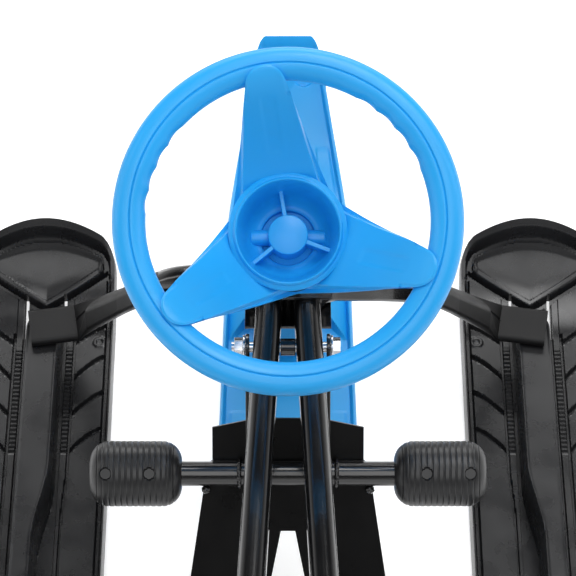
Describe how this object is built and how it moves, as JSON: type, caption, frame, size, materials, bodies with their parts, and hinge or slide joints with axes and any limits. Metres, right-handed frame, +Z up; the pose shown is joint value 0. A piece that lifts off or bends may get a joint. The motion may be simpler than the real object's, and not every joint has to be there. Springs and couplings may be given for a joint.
{
  "type": "steerable snow sled",
  "caption": "Ride-on snow sled: twin-tube frame on flat side skis, padded seat, steering wheel turning a front ski, and a foot-operated claw brake.",
  "frame": {"origin": "on the ground under the middle of the bounding box", "axes": "+Y forward towards the front ski tip, +X to the rider's right, +Z up"},
  "size_m": [0.536, 1.1, 0.4551],
  "materials": {
    "frame_paint": "gloss black powder coat",
    "black_moulding": "satin black moulded plastic",
    "blue_moulding": "satin blue moulded plastic",
    "peg_rubber": "matt ribbed rubber",
    "zinc": "bright zinc plate",
    "nylon": "natural nylon",
    "seat_cover": "black coated weave over foam"
  },
  "bodies": {
    "frame": {"frame_tube_left": "frame_paint", "frame_tube_right": "frame_paint", "side_ski_left": "black_moulding", "side_ski_right": "black_moulding", "head_tube": "frame_paint", "head_bushes": "nylon", "head_gussets": "frame_paint", "rail_spacer": "frame_paint", "brake_pivot_bolt": "zinc", "brake_pivot_nut": "zinc", "brake_pivot_washers": "zinc", "ski_bolts": "zinc", "ski_washers": "zinc", "seat_brackets": "frame_paint", "seat_screws": "zinc", "seat_base": "black_moulding", "seat_pad": "seat_cover", "spring_lugs": "frame_paint", "brake_springs": "zinc"},
    "steering": {"steering_column": "frame_paint", "column_collar": "frame_paint", "collar_screw": "zinc", "ski_yoke": "frame_paint", "ski_pivot_bolt": "zinc", "ski_pivot_nut": "zinc", "ski_pivot_washers": "zinc", "steering_wheel_rim": "blue_moulding", "steering_wheel_spider": "blue_moulding", "wheel_screws": "zinc", "wheel_cross_bolt": "zinc", "wheel_cross_nut": "zinc"},
    "front_ski": {"front_ski": "blue_moulding", "ski_bushes": "nylon"},
    "brake": {"foot_bar": "frame_paint", "brake_strap_left": "frame_paint", "brake_strap_right": "frame_paint", "brake_plate": "frame_paint", "foot_peg_left": "peg_rubber", "foot_peg_right": "peg_rubber", "peg_screws": "zinc"}
  },
  "joints": [
    {"name": "steer", "type": "hinge", "parent": "frame", "child": "steering", "pos_m": [0, 0.1685, 0.232], "axis": [0, -0.5299, 0.848], "range_deg": [-25, 25]},
    {"name": "ski_pitch", "type": "hinge", "parent": "steering", "child": "front_ski", "pos_m": [0, 0.27607, 0.05985], "axis": [1, 0, 0], "range_deg": [-8, 8]},
    {"name": "brake_press", "type": "hinge", "parent": "frame", "child": "brake", "pos_m": [0, 0.078, 0.232], "axis": [1, 0, 0], "range_deg": [0, 14], "stiffness_Nm_per_rad": 10, "springref_deg": -8.59, "deforming": ["brake_springs"]}
  ]
}
